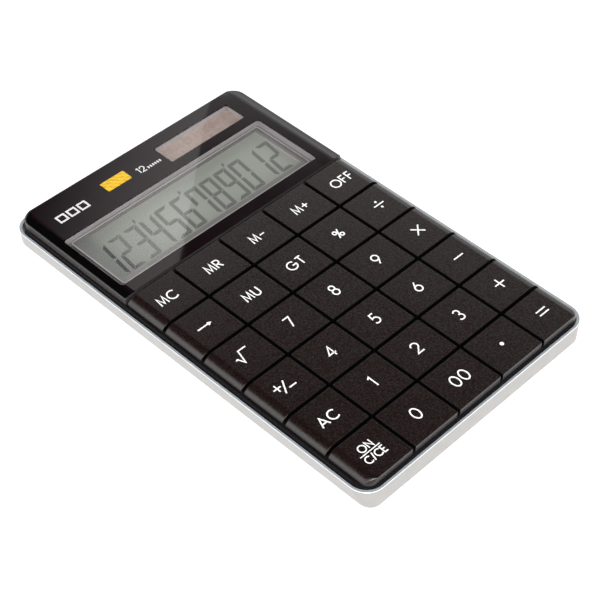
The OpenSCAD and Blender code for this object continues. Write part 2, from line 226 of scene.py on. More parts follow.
def mitre(before, here, after, half):
    """Offset from a line's point to its left edge, longer at a corner so that the width stays the same."""
    sides = []
    for a, b in ((before, here), (here, after)):
        if a and b:
            run = Vector(b) - Vector(a)
            sides.append(Vector((-run.y, run.x)).normalized())
    middle = (sides[0] + sides[-1]).normalized()
    return middle * (half / max(middle.dot(sides[0]), 0.45))


def smooth(obj, sharp_degrees):
    """Smooth shading, with edges sharper than the given angle kept, and flat faces kept flat."""
    for polygon in obj.data.polygons:
        polygon.use_smooth = True
    obj.data.set_sharp_from_angle(angle=math.radians(sharp_degrees))
    weighted = obj.modifiers.new("flat faces", "WEIGHTED_NORMAL")
    weighted.keep_sharp = True


def arc(centre, radii, start, end, steps=20):
    """Points along part of an ellipse, from one angle in degrees to another."""
    turn = [math.radians(start + (end - start) * i / steps) for i in range(steps + 1)]
    return [(centre[0] + radii[0] * math.cos(a), centre[1] + radii[1] * math.sin(a)) for a in turn]


def circle_plan(centre, radius):
    return arc(centre, (radius, radius), 0, 352.5, 47)


def box_plan(left, right, front, rear):
    return [(left, front), (right, front), (right, rear), (left, rear)]


def outline(area, corners, steps=CORNER_STEPS):
    """Plan of a rectangle with elliptical corners, whose radii start at the front left and run round."""
    left, right, front, rear = area
    points = []
    for (rx, ry), x, y, sx, sy, turn in (
        (corners[0], left, front, 1, 1, 180),
        (corners[1], right, front, -1, 1, 270),
        (corners[2], right, rear, -1, -1, 0),
        (corners[3], left, rear, 1, -1, 90),
    ):
        points.extend(arc((x + sx * rx, y + sy * ry), (rx, ry), turn, turn + 90, steps))
    return points


def round_in(risen, height, width):
    """How far a rounded edge has turned inwards once it has risen over a part of its height."""
    share = max(risen / height, 0.0)
    return width * (1 - math.sqrt(max(1 - share * share, 0.0)))


def at_height(plan, z):
    return [(x, y, z) for x, y in plan]


def box_mm(node):
    """Lowest and highest corner of a CAD node in millimetres."""
    low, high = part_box(node)
    return low / MM, high / MM


def evaluated_mesh(obj):
    """New mesh with the object's modifiers or curve already worked out."""
    bpy.context.view_layer.update()
    return bpy.data.meshes.new_from_object(obj.evaluated_get(bpy.context.evaluated_depsgraph_get()))


def boolean(obj, other, operation):
    """Joins or cuts obj with other, which is then removed."""
    change = obj.modifiers.new(operation, "BOOLEAN")
    change.operation = operation
    change.solver = "EXACT"
    change.object = other
    # The weighted normals come last again once the cut is made
    for extra in [m for m in obj.modifiers if m.type == "WEIGHTED_NORMAL"]:
        obj.modifiers.remove(extra)
    made = evaluated_mesh(obj)
    obj.modifiers.clear()
    old = obj.data
    obj.data = made
    bpy.data.meshes.remove(old)
    bpy.data.objects.remove(other)


# ---- Materials ----


class Nodes:
    """Shader nodes of a material or of the world, and the joins between them."""

    def __init__(self, tree):
        self.tree = tree

    def find(self, kind):
        return next(n for n in self.tree.nodes if n.type == kind)

    def add(self, kind, inputs=None):
        node = self.tree.nodes.new("ShaderNode" + kind)
        self.put(node, inputs or {})
        return node

    def put(self, node, inputs):
        """Sets inputs of a node to plain values, or joins them to outputs of other nodes."""
        for name, value in inputs.items():
            if isinstance(value, bpy.types.NodeSocket):
                self.tree.links.new(value, node.inputs[name])
            else:
                node.inputs[name].default_value = value

    def own_place(self):
        """Coordinates of the object's own space, in metres."""
        return self.add("TexCoord").outputs["Object"]

    def axis(self, vector, name):
        return self.add("SeparateXYZ", {"Vector": vector}).outputs[name]

    def noise(self, size_mm, detail=2.0, stretch=None):
        """Noise over the object's own coordinates, with features of the given size."""
        source = self.own_place()
        if stretch:
            source = self.add("Mapping", {"Vector": source, "Scale": stretch}).outputs["Vector"]
        inputs = {"Vector": source, "Scale": 1 / (size_mm * MM), "Detail": detail}
        return self.add("TexNoise", inputs).outputs["Fac"]

    def ramp(self, factor, stops):
        """Colour that runs through stops, each a position and a colour."""
        node = self.add("ValToRGB", {"Fac": factor})
        elements = node.color_ramp.elements
        elements.remove(elements[1])
        for index, (position, colour) in enumerate(stops):
            element = elements[0] if index == 0 else elements.new(position)
            element.position = position
            element.color = (*colour, 1)
        return node.outputs["Color"]

    def two_tone(self, factor, first, second, low=0.35, high=0.65):
        return self.ramp(factor, ((low, first), (high, second)))

    def spread(self, factor, low, high, source=(0.3, 0.7)):
        """Maps a value, which is noise as a rule, to a range from low to high."""
        inputs = {"Value": factor, "To Min": low, "To Max": high}
        inputs["From Min"], inputs["From Max"] = source
        return self.add("MapRange", inputs).outputs["Result"]

    def calculate(self, operation, *terms):
        step = self.add("Math", dict(enumerate(terms)))
        step.operation = operation
        return step.outputs["Value"]


class Finish(Nodes):
    """A new material and its main shader."""

    def __init__(self, name):
        self.material = bpy.data.materials.new(name)
        self.material.use_nodes = True
        super().__init__(self.material.node_tree)
        self.surface = self.find("BSDF_PRINCIPLED")

    def paint(self, inputs):
        self.put(self.surface, inputs)

    def relief(self, factor, depth_mm):
        bump = self.add("Bump", {"Height": factor, "Distance": depth_mm * MM})
        self.paint({"Normal": bump.outputs["Normal"]})

    def grain(self, texture, gloss, depth_mm):
        """Uneven gloss and a fine relief from the same texture."""
        self.paint({"Roughness": self.spread(texture, *gloss)})
        self.relief(texture, depth_mm)


def plain_finish(
    name, tones, gloss, patch_mm=6.0, grain_mm=0.3, depth_mm=0.004, metallic=0.0, specular=0.5, stretch=None
):
    """A surface with colour that drifts between two tones, uneven gloss and a fine relief."""
    look = Finish(name)
    look.paint({"Metallic": metallic, "Specular IOR Level": specular})
    look.paint({"Base Color": look.two_tone(look.noise(patch_mm, 3.0), *tones)})
    look.grain(look.noise(grain_mm, 2.0, stretch), gloss, depth_mm)
    return look.material


def clear_cover_material():
    """Thin clear plastic: see-through, with a mirror share that grows towards a grazing angle."""
    look = Finish("clear_cover")
    look.paint({"Metallic": 1.0, "Base Color": (0.95, 0.95, 0.97, 1)})
    look.paint({"Roughness": look.spread(look.noise(9.0, 3.0), 0.015, 0.035)})
    through = look.add("BsdfTransparent", {"Color": (0.985, 0.985, 0.985, 1)})
    facing = look.add("LayerWeight", {"Blend": 0.5})
    grazing = look.calculate("POWER", facing.outputs["Facing"], 5.0)
    share = look.calculate("MULTIPLY_ADD", grazing, 0.96, 0.027)
    mix = look.add("MixShader", {0: share, 1: through.outputs["BSDF"], 2: look.surface.outputs["BSDF"]})
    look.put(look.find("OUTPUT_MATERIAL"), {"Surface": mix.outputs["Shader"]})
    return look.material


def frame_material():
    """Black plastic, with the upstanding wall around the display painted a little paler than the rest as a
    painted reflection of the bright table.
    """
    look = Finish("black_frame")
    # Painted reflection: above this height the black is paler, standing in for the bright table mirrored in
    # the wall
    height = look.spread(look.axis(look.own_place(), "Z"), 0.0, 1.0, (9.85 * MM, 9.95 * MM))
    look.paint({"Base Color": look.two_tone(height, (0.012, 0.011, 0.012), (0.045, 0.04, 0.04), 0.0, 1.0)})
    look.grain(look.noise(0.5), (0.24, 0.34), 0.001)
    return look.material


def surround_material():
    """Mauve-grey plastic around the windows, with painted light and shade: pale upright walls as if lit, and
    a darker ledge as painted shade.
    """
    look = Finish("bezel_grey")
    painted_shade_by_facing = look.axis(look.add("NewGeometry").outputs["Normal"], "Z")
    # Painted light and shade: faces that look up get the darker tone, upright walls the paler one
    look.paint({"Base Color": look.two_tone(painted_shade_by_facing, (0.37, 0.345, 0.35), (0.18, 0.162, 0.165))})
    look.grain(look.noise(0.3), (0.4, 0.55), 0.003)
    return look.material


def circuit_board_material():
    """Green solder mask over copper tracks that show as paler lines."""
    look = Finish("circuit_board")
    pattern = {
        "Vector": look.own_place(),
        "Scale": 160.0,
        "Mortar Size": 0.06,
        "Color1": (0.012, 0.105, 0.035, 1),
        "Color2": (0.016, 0.125, 0.045, 1),
        "Mortar": (0.05, 0.22, 0.09, 1),
    }
    tracks = look.add("TexBrick", pattern)
    look.paint({"Base Color": tracks.outputs["Color"]})
    look.paint({"Roughness": look.spread(look.noise(0.8), 0.28, 0.42)})
    look.relief(tracks.outputs["Fac"], 0.02)
    return look.material


def solar_cell_material():
    """Amorphous cell: brown film divided into strips by thin paler lines."""
    look = Finish("solar_cell")
    pattern = {
        "Vector": look.own_place(),
        "Scale": 1.0,
        "Brick Width": 8.6 * MM,
        "Row Height": 40 * MM,
        "Mortar Size": 0.12 * MM,
        "Color1": (0.36, 0.265, 0.23, 1),
        "Color2": (0.33, 0.25, 0.215, 1),
        "Mortar": (0.43, 0.36, 0.33, 1),
    }
    strips = look.add("TexBrick", pattern)
    strips.offset = 0.0
    look.paint({"Base Color": strips.outputs["Color"]})
    look.grain(look.noise(2.5), (0.22, 0.34), 0.003)
    return look.material


def polariser_material():
    """Grey-green film over the display, darker at the left end as painted shade from the window's left wall,
    and palest near the middle.
    """
    look = Finish("polariser")
    left, right = LCD_WINDOW[:2]
    across = look.spread(look.axis(look.own_place(), "X"), 0.0, 1.0, (left * MM, right * MM))
    stops = []
    # Painted shading along the film, darkest at the left end where the window wall shades it
    for x, share in POLARISER_PAINTED_SHADING:
        stops.append(((x - left) / (right - left), (0.214 * share, 0.23 * share, 0.199 * share)))
    look.paint({"Base Color": look.ramp(across, stops)})
    look.grain(look.noise(0.25), (0.28, 0.36), 0.0008)
    return look.material


def lcd_ink_material():
    """Liquid crystal segments, darkest at the left."""
    look = Finish("lcd_ink")
    across = look.spread(look.axis(look.own_place(), "X"), 0.0, 1.0, (-37.0 * MM, -31.0 * MM))
    tone = look.two_tone(across, (0.01, 0.011, 0.011), (0.125, 0.131, 0.118), 0.0, 1.0)
    look.paint({"Base Color": tone, "Specular IOR Level": 0.15})
    look.paint({"Roughness": look.spread(look.noise(0.5), 0.45, 0.6)})
    return look.material


def foil_material():
    """Yellow sticker with fine diagonal hatching."""
    look = Finish("yellow_label")
    pattern = {"Vector": look.own_place(), "Scale": 260.0, "Distortion": 5.0, "Detail Scale": 3.0}
    hatch = look.add("TexWave", pattern)
    hatch.bands_direction = "DIAGONAL"
    lines = hatch.outputs["Fac"]
    look.paint({"Base Color": look.two_tone(lines, (0.53, 0.28, 0.005), (0.72, 0.46, 0.018), 0.1, 0.5)})
    look.paint({"Roughness": look.spread(look.noise(0.4), 0.3, 0.45)})
    look.relief(lines, 0.01)
    return look.material


# Two tones of colour, the range of roughness, and what differs from the usual finish
FINISH_ROWS = {
    "silver_case": (
        ((0.355, 0.345, 0.335), (0.375, 0.365, 0.355)), (0.33, 0.37),
        dict(patch_mm=4, grain_mm=0.5, depth_mm=0.0001, metallic=0.5),
    ),
    # Painted reflection: the rim's flat top is bluish-grey and darker than the wall, for the dark room above
    # that it mirrors
    "silver_rim": (
        ((0.28, 0.31, 0.335), (0.31, 0.34, 0.365)), (0.25, 0.35),
        dict(patch_mm=3, depth_mm=0.0008, metallic=0.1),
    ),
    # Painted highlight: the rim's rounded outer edge is near white
    "silver_edge_highlight": (
        ((0.8, 0.81, 0.82), (0.84, 0.85, 0.86)), (0.2, 0.3),
        dict(patch_mm=3, depth_mm=0.0008, metallic=0.2),
    ),
    "key_plastic": (
        ((0.0004, 0.0001, 0.0001), (0.0145, 0.0066, 0.0055)), (0.16, 0.32),
        dict(patch_mm=0.35, grain_mm=0.6, depth_mm=0.014),
    ),
    # Painted shade: the cap faces in the gaps between keys are darker than the tops
    "key_side": (((0.001, 0.0008, 0.0008), (0.0016, 0.0012, 0.0012)), (0.4, 0.5), dict(specular=0.15)),
    "black_film": (
        ((0.0012, 0.0008, 0.001), (0.0018, 0.0012, 0.0014)), (0.3, 0.4),
        dict(grain_mm=0.4, depth_mm=0.0005, specular=0.0),
    ),
    "panel_black": (
        ((0.001, 0.0009, 0.001), (0.0014, 0.0012, 0.0013)), (0.06, 0.075),
        dict(grain_mm=12, depth_mm=0.0001),
    ),
    "printed_cover": (
        ((0.004, 0.0014, 0.0022), (0.0055, 0.002, 0.003)), (0.02, 0.035),
        dict(grain_mm=12, depth_mm=0.0001, specular=0.3),
    ),
    # Painted reflection: the cover's sides are a paler black for the bright table they mirror
    "panel_side_reflection": (
        ((0.036, 0.032, 0.032), (0.042, 0.038, 0.038)), (0.3, 0.4),
        dict(grain_mm=0.5, depth_mm=0.001),
    ),
    "lcd_glass": (((0.36, 0.4, 0.37), (0.38, 0.42, 0.39)), (0.05, 0.1), dict(grain_mm=2, depth_mm=0.0005)),
    "reflector": (
        ((0.5, 0.53, 0.48), (0.53, 0.56, 0.51)), (0.35, 0.5),
        dict(grain_mm=0.2, depth_mm=0.002, metallic=0.6),
    ),
    "connector_rubber": (((0.62, 0.27, 0.33), (0.68, 0.32, 0.38)), (0.5, 0.65), dict(grain_mm=0.2)),
    "lead_red": (((0.4, 0.015, 0.012), (0.46, 0.02, 0.016)), (0.38, 0.5), {}),
    "lead_black": (((0.008, 0.008, 0.008), (0.012, 0.012, 0.012)), (0.38, 0.5), {}),
    "epoxy_black": (((0.006, 0.006, 0.006), (0.01, 0.01, 0.01)), (0.14, 0.26), dict(grain_mm=1)),
    "capacitor_sleeve": (((0.02, 0.05, 0.24), (0.03, 0.065, 0.3)), (0.25, 0.38), {}),
    "chip_resistor": (((0.016, 0.016, 0.016), (0.024, 0.024, 0.024)), (0.4, 0.55), {}),
    "silicone_mat": (((0.46, 0.45, 0.41), (0.5, 0.49, 0.45)), (0.5, 0.66), dict(grain_mm=0.4)),
    "carbon_pill": (((0.006, 0.006, 0.006), (0.012, 0.012, 0.012)), (0.6, 0.75), {}),
    "screw_steel": (
        ((0.42, 0.42, 0.43), (0.5, 0.5, 0.51)), (0.24, 0.4),
        dict(grain_mm=0.15, metallic=1.0, depth_mm=0.003),
    ),
    "contact_metal": (
        ((0.56, 0.5, 0.34), (0.62, 0.56, 0.4)), (0.2, 0.34),
        dict(metallic=1.0, stretch=(1, 8, 1)),
    ),
    "cell_steel": (
        ((0.6, 0.6, 0.59), (0.66, 0.66, 0.65)), (0.2, 0.32),
        dict(metallic=1.0, stretch=(1, 8, 1)),
    ),
    "foot_rubber": (
        ((0.011, 0.011, 0.012), (0.016, 0.016, 0.017)), (0.6, 0.78),
        dict(grain_mm=0.25, depth_mm=0.012),
    ),
    # Painted shade on the sides of the window lip, and a painted highlight on its top
    "lip_side_shade": (((0.12, 0.105, 0.105), (0.14, 0.122, 0.122)), (0.3, 0.45), dict(depth_mm=0.001)),
    "lip_edge_highlight": (((0.42, 0.41, 0.39), (0.48, 0.47, 0.45)), (0.3, 0.45), dict(depth_mm=0.001)),
    "legend_ink": (((0.82, 0.82, 0.81), (0.86, 0.86, 0.85)), (0.4, 0.55), dict(grain_mm=0.2, depth_mm=0.001)),
    "panel_ink": (((0.6, 0.59, 0.59), (0.66, 0.65, 0.65)), (0.3, 0.45), dict(grain_mm=0.2, depth_mm=0.001)),
    "lcd_shadow": (((0.165, 0.175, 0.153), (0.173, 0.184, 0.162)), (0.5, 0.6), dict(depth_mm=0.0005)),
}


def make_materials():
    materials = {name: plain_finish(name, *row[:2], **row[2]) for name, row in FINISH_ROWS.items()}
    materials["black_frame"] = frame_material()
    materials["bezel_grey"] = surround_material()
    materials["clear_cover"] = clear_cover_material()
    materials["circuit_board"] = circuit_board_material()
    materials["solar_cell"] = solar_cell_material()
    materials["polariser"] = polariser_material()
    materials["lcd_ink"] = lcd_ink_material()
    materials["yellow_label"] = foil_material()
    return materials


# Material of each CAD node that is shown as it is
NODE_FINISHES = {
    "key_frame": "black_frame",
    "display_bezel": "bezel_grey",
    "lcd_front_polariser": "polariser",
    "lcd_front_glass": "lcd_glass",
    "lcd_rear_glass": "lcd_glass",
    "lcd_reflector": "reflector",
    "zebra_connector": "connector_rubber",
    "solar_cell": "solar_cell",
    "solar_lead_positive": "lead_red",
    "solar_lead_negative": "lead_black",
    "main_board": "circuit_board",
    "processor": "epoxy_black",
    "capacitor": "capacitor_sleeve",
    "resistors": "chip_resistor",
    "dome_mat": "silicone_mat",
    "contact_pills": "carbon_pill",
    "board_screws": "screw_steel",
    "case_screws": "screw_steel",
    "battery_contact_positive": "contact_metal",
    "battery_contact_negative": "contact_metal",
    "button_cell": "cell_steel",
    "battery_door": "silver_case",
}


def paint_nodes(nodes, materials):
    for name, finish_name in NODE_FINISHES.items():
        slots = nodes[name].data.materials
        slots.clear()
        slots.append(materials[finish_name])


# ---- Keys ----


def cap_rings(area, side, is_corner, top):
    """Plan outlines of a key cap from its hollow underside up to its top face. side is -1, 0 or 1."""
    left, right, front, rear = area
    bottom = top - CAP_HEIGHT
    roof = top - CAP_ROOF
    inside = (left + CAP_WALL, right - CAP_WALL, front + CAP_WALL, rear - CAP_WALL)
    hollow = outline(inside, ((0.4, 0.4),) * 4)
    rings = [at_height(hollow, roof), at_height(hollow, bottom)]
    steepest = math.radians(CAP_ROLL_DEGREES)
    radius = CAP_ROLL_WIDTH / math.sin(steepest)
    levels = [(bottom, 0.0)]
    for step in range(ROLL_STEPS + 1):
        slope = steepest * (1 - step / ROLL_STEPS)
        levels.append((top - radius * (1 - math.cos(slope)), CAP_ROLL_WIDTH - radius * math.sin(slope)))
    for z, rolled in levels:
        edged = round_in(z - top + CAP_EDGE_R, CAP_EDGE_R, CAP_EDGE_R) + CAP_SHRINK
        to_left = rolled if side < 0 else edged
        to_right = rolled if side > 0 else edged
        small = max(CAP_EDGE_R + CAP_SHRINK - edged, 0.02)
        corners = [(small, small)] * 4
        if is_corner:
            big = (max(CAP_CORNER_R - rolled, 0.05), CAP_CORNER_R - edged)
            corners[0 if side < 0 else 1] = big
        plan = outline((left + to_left, right - to_right, front + edged, rear - edged), corners)
        rings.append(at_height(plan, z))
    return rings


def build_keys(materials):
    """Key caps with plungers and legs, and the printed legend on each."""
    for row, names in enumerate(KEY_ROWS):
        for column, name in enumerate(names):
            low, high = box_mm(name)
            side = (column == LAST_COLUMN) - (column == 0)
            area = (low.x, high.x, low.y, high.y)
            shape = Shape()
            shape.rings(cap_rings(area, side, row == LAST_ROW and side != 0, high.z))
            x = (column - LAST_COLUMN / 2) * COLUMN_PITCH
            y = (low.y + high.y) / 2
            add_stem(shape, x, y, low.z, high.z - CAP_ROOF + 0.01)
            cap = shape.build(f"{name}_cap", materials["key_plastic"], 40)
            cap.data.materials.append(materials["key_side"])
            # Faces in the gaps between keys get the painted shade
            for polygon in cap.data.polygons:
                polygon.material_index = int(faces_a_gap(polygon.normal, side, row == LAST_ROW))
            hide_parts(name)
            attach(cap, name)
            print_legend(name, Vector((x, y, high.z)), materials["legend_ink"])


def faces_a_gap(normal, side, is_front_row):
    """True for the upright faces of a cap that look at its neighbours, which are matt and painted darker as
    shade between the keys.
    """
    if abs(normal.z) > 0.5 or normal.x * side > 0.5:
        return False
    return not (is_front_row and normal.y < -0.5)


def add_stem(shape, x, y, bottom, root):
    """Plunger over the dome, and a barbed leg on each side of it."""
    shape.box(x - 2, x + 2, y - 2, y + 2, bottom, root)
    leg_bottom = bottom + 0.15
    for side in (-1, 1):
        inner = x + side * 5.55
        outer = x + side * 6.45
        barb = x + side * 7.15
        profile = [(inner, root), (inner, leg_bottom), (outer, leg_bottom), (barb, leg_bottom + 0.3)]
        profile += [(barb, leg_bottom + 0.6), (outer, leg_bottom + 0.6), (outer, root)]
        shape.rings([[(px, y + depth, pz) for px, pz in profile] for depth in (-1.5, 1.5)])


# ---- Lettering ----


def glyphs():
    """Strokes of each sign one unit tall: width, open lines, closed lines."""

    def circle(x, y, r):
        return arc((x, y), (r, r), 0, 342, 19)

    three_bows = [arc((0.27, 0.75), (0.25, 0.25), 150, -90), arc((0.27, 0.255), (0.29, 0.255), 90, -150)]
    six_stem = [(0.054, 0.472), (0.42, 1.0)]
    r_stem = [(0.0, 0.0), (0.0, 1.0), (0.24, 1.0)]
    r_bow = arc((0.26, 0.74), (0.26, 0.26), 80, -80) + [(0.24, 0.48), (0.0, 0.48)]
    return {
        "0": (0.66, [], [arc((0.33, 0.5), (0.33, 0.5), 0, 348, 29)]),
        "1": (0.22, [[(0.0, 0.86), (0.22, 1.0), (0.22, 0.0)]], []),
        "2": (0.62, [arc((0.3, 0.7), (0.3, 0.3), 170, -38) + [(0.0, 0.0), (0.62, 0.0)]], []),
        "3": (0.56, three_bows, []),
        "4": (0.68, [[(0.5, 0.0), (0.5, 1.0), (0.0, 0.27), (0.68, 0.27)]], []),
        "5": (0.58, [[(0.55, 1.0), (0.17, 1.0)] + arc((0.28, 0.3), (0.3, 0.3), 128, -145)], []),
        "6": (0.6, [six_stem], [circle(0.3, 0.3, 0.3)]),
        "7": (0.58, [[(0.0, 1.0), (0.58, 1.0), (0.2, 0.0)]], []),
        "8": (0.58, [], [circle(0.29, 0.765, 0.235), circle(0.29, 0.27, 0.28)]),
        "9": (0.6, [[(0.6 - x, 1.0 - y) for x, y in six_stem]], [circle(0.3, 0.7, 0.3)]),
        "A": (0.84, [[(0.0, 0.0), (0.42, 1.0), (0.84, 0.0)], [(0.13, 0.31), (0.71, 0.31)]], []),
        "C": (0.84, [arc((0.5, 0.5), (0.5, 0.5), 45, 315)], []),
        "E": (0.5, [[(0.5, 1.0), (0.0, 1.0), (0.0, 0.0), (0.5, 0.0)], [(0.0, 0.52), (0.46, 0.52)]], []),
        "F": (0.48, [[(0.48, 1.0), (0.0, 1.0), (0.0, 0.0)], [(0.0, 0.54), (0.44, 0.54)]], []),
        "G": (1.0, [arc((0.5, 0.5), (0.5, 0.5), 45, 360) + [(0.56, 0.5)]], []),
        "M": (0.82, [[(0.0, 0.0), (0.1, 1.0), (0.41, 0.12), (0.72, 1.0), (0.82, 0.0)]], []),
        "N": (0.68, [[(0.0, 0.0), (0.0, 1.0), (0.68, 0.0), (0.68, 1.0)]], []),
        "O": (1.0, [], [arc((0.5, 0.5), (0.5, 0.5), 0, 348, 29)]),
        "R": (0.54, [r_stem + r_bow, [(0.24, 0.48), (0.54, 0.0)]], []),
        "T": (0.6, [[(0.0, 1.0), (0.6, 1.0)], [(0.3, 1.0), (0.3, 0.0)]], []),
        "U": (0.6, [[(0.0, 1.0)] + arc((0.3, 0.3), (0.3, 0.3), 180, 360) + [(0.6, 1.0)]], []),
        "/": (0.34, [[(0.0, -0.08), (0.34, 1.08)]], []),
        "+": (0.62, [[(0.0, 0.5), (0.62, 0.5)], [(0.31, 0.19), (0.31, 0.81)]], []),
        "-": (0.52, [[(0.0, 0.5), (0.52, 0.5)]], []),
        "%": (0.86, [[(0.16, -0.04), (0.7, 1.04)]], [circle(0.19, 0.76, 0.19), circle(0.67, 0.24, 0.19)]),
    }


GLYPHS = glyphs()


class Ink:
    """Printed strokes on a flat face, each a hair higher than the one before so that none share a plane."""

    def __init__(self, centre, width=STROKE):
        self.shape = Shape()
        self.centre = centre
        self.width = width
        self.count = 0

    def span(self):
        self.count += 1
        bottom = self.centre.z - INK_THICKNESS
        return bottom, self.centre.z + INK_THICKNESS + self.count * INK_STEP

    def line(self, points, closed=False, width=None):
        placed = [(self.centre.x + x, self.centre.y + y) for x, y in points]
        self.shape.stroke(placed, width or self.width, *self.span(), closed)

    def fill(self, points):
        self.shape.prism([(self.centre.x + x, self.centre.y + y) for x, y in points], *self.span())

    def dot(self, x, y, radius):
        self.fill(arc((x, y), (radius, radius), 0, 345, 23))

    def text(self, text, height, x=0.0, y=0.0, gap=LETTER_GAP):
        """A line of text with its middle at x, y."""
        scale = height - self.width
        total = sum(GLYPHS[sign][0] for sign in text) + gap * (len(text) - 1)
        pen = -total / 2
        for sign in text:
            width, lines, loops = GLYPHS[sign]
            for points, closed in [(p, False) for p in lines] + [(p, True) for p in loops]:
                placed = [(x + (pen + px) * scale, y + (py - 0.5) * scale) for px, py in points]
                self.line(placed, closed)
            pen += width + gap


WORDS = {
    "key_memory_clear": "MC",
    "key_memory_recall": "MR",
    "key_memory_minus": "M-",
    "key_memory_plus": "M+",
    "key_off": "OFF",
    "key_markup": "MU",
    "key_grand_total": "GT",
    "key_percent": "%",
    "key_all_clear": "AC",
}


# Straight lines of the signs that aren't plain letters or digits
SIGN_LINES = {
    "key_backspace": [[(-2.9, 0.2), (1.6, 0.2)]],
    "key_divide": [[(-2.3, 0.2), (2.3, 0.2)]],
    "key_multiply": [[(-1.8, -1.6), (1.8, 2.0)], [(-1.8, 2.0), (1.8, -1.6)]],
    "key_minus": [[(-2.2, 0.1), (2.2, 0.1)]],
    "key_plus": [[(-2.15, 0.3), (2.15, 0.3)], [(0, -1.85), (0, 2.45)]],
    "key_equals": [[(-2.2, 1.15), (2.2, 1.15)], [(-2.2, -0.55), (2.2, -0.55)]],
    "key_square_root": [[(-3.3, 0.15), (-2.6, 0.45), (-1.5, -2.1), (-0.1, 2.85), (3.0, 2.85)]],
    "key_sign": [
        [(-3.9, 1.1), (-0.9, 1.1)],
        [(-2.4, -0.4), (-2.4, 2.6)],
        [(-1.6, -2.1), (1.1, 2.4)],
        [(0.7, -1.1), (3.6, -1.1)],
    ],
}


def draw_sign(ink, name):
    for points in SIGN_LINES.get(name, []):
        ink.line(points)
    if name == "key_backspace":
        ink.fill([(1.3, -0.65), (2.9, 0.2), (1.3, 1.05)])
    elif name == "key_divide":
        ink.dot(0, 1.75, 0.45)
        ink.dot(0, -1.35, 0.45)
    elif name == "key_point":
        ink.dot(0.1, 0.4, 0.72)
    elif name == "key_on_clear":
        ink.width = FINE_STROKE
        ink.text("ON", 3.0, -0.1, 2.35)
        ink.line([(-4.2, 0.3), (4.1, 0.3)], width=0.35)
        ink.text("C/CE", 2.95, 0, -1.85, gap=0.21)


def print_legend(name, centre, material):
    ink = Ink(centre)
    word = WORDS.get(name, name.replace("key_", ""))
    if name in WORDS:
        ink.text(word, LETTER_HEIGHT, 0, -0.1)
    elif word.isdigit():
        ink.text(word, DIGIT_HEIGHT, 0, 0.35)
    else:
        draw_sign(ink, name)
    legend = ink.shape.build(f"{name}_legend", material)
    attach(legend, name)


# ---- Display panel ----


def panel_rings(area, bottom, top):
    """Plan outlines of the cover: rolled along both sides, with round corners at the rear."""
    left, right, front, rear = area
    roll_start = top - PANEL_ROLL_HEIGHT
    heights = [bottom]
    for step in range(ROLL_STEPS + 1):
        heights.append(roll_start + PANEL_ROLL_HEIGHT * math.sin(math.pi / 2 * step / ROLL_STEPS))
    rings = []
    for z in heights:
        rolled = round_in(z - roll_start, PANEL_ROLL_HEIGHT, PANEL_ROLL_WIDTH)
        edged = round_in(z - top + PANEL_EDGE_R, PANEL_EDGE_R, PANEL_EDGE_R)
        small = (0.3, 0.3)
        rear_corner = (max(PANEL_CORNER_R - rolled, 0.2), PANEL_CORNER_R - edged)
        edges = (left + rolled, right - rolled, front + edged, rear - edged)
        rings.append(at_height(outline(edges, (small, small, rear_corner, rear_corner)), z))
    return rings


def plate_with_windows(name, rim, windows, bottom, top, material):
    """A flat plate with rounded openings."""
    curve = bpy.data.curves.new(name, "CURVE")
    curve.dimensions = "2D"
    curve.fill_mode = "BOTH"
    curve.extrude = (top - bottom) / 2 * MM
    for plan in [rim, *windows]:
        spline = curve.splines.new("POLY")
        spline.points.add(len(plan) - 1)
        for point, (x, y) in zip(spline.points, plan):
            point.co = (x * MM, y * MM, 0, 1)
        spline.use_cyclic_u = True
    drawn = link(bpy.data.objects.new(name, curve))
    mesh = evaluated_mesh(drawn)
    bpy.data.objects.remove(drawn)
    mesh.transform(Matrix.Translation((0, 0, (bottom + top) / 2 * MM)))
    return finished_object(name, mesh, material, 35)


def build_panel(materials):
    low, high = box_mm("display_cover")
    area = (low.x, high.x, low.y, high.y)
    shape = Shape()
    shape.rings(panel_rings(area, low.z - 0.02, high.z))
    cover = shape.build("display_cover_clear", materials["clear_cover"], 40)
    for name in ("panel_black", "printed_cover", "panel_side_reflection"):
        cover.data.materials.append(materials[name])
    split_cover_top(cover.data)
    for polygon in cover.data.polygons:
        polygon.material_index = cover_region(polygon)
    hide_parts("display_cover")
    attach(cover, "case")

    mask_low, mask_high = box_mm("display_mask")
    corner = PANEL_CORNER_R - MASK_INSET
    rim = outline(
        (low.x + MASK_INSET, high.x - MASK_INSET, low.y + MASK_INSET, high.y - MASK_INSET),
        ((0.3, 0.3), (0.3, 0.3), (corner, corner), (corner, corner)),
    )
    round_corner = ((WINDOW_CORNER_R, WINDOW_CORNER_R),) * 4
    windows = [outline(w, round_corner) for w in (LCD_WINDOW, SOLAR_WINDOW)]
    mask = plate_with_windows(
        "display_mask_print", rim, windows, mask_low.z, mask_high.z, materials["black_film"]
    )
    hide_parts("display_mask")
    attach(mask, "case")

    build_window_lip(materials)
    build_emblem(materials["panel_ink"])
    build_label(materials["yellow_label"])


def build_window_lip(materials):
    """Low clear wall around the display, with its top painted pale as a highlight and its sides painted
    darker as shade, standing on the ledge of the surround.
    """
    left, right, front, rear = LCD_WINDOW
    area = (left + LIP_SIDE_INSET, right - LIP_SIDE_INSET, front + LIP_END_INSET, rear - LIP_END_INSET)
    shape = Shape()
    shape.stroke(outline(area, ((0.6, 0.6),) * 4, 5), LIP_THICKNESS, LIP_BOTTOM, LIP_TOP, closed=True)
    lip = shape.build("display_window_lip", materials["lip_side_shade"])
    lip.data.materials.append(materials["lip_edge_highlight"])
    for polygon in lip.data.polygons:
        # Painted highlight on the top faces, painted shade on the sides
        polygon.material_index = 1 if polygon.normal.z > 0.9 else 0
    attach(lip, "case")


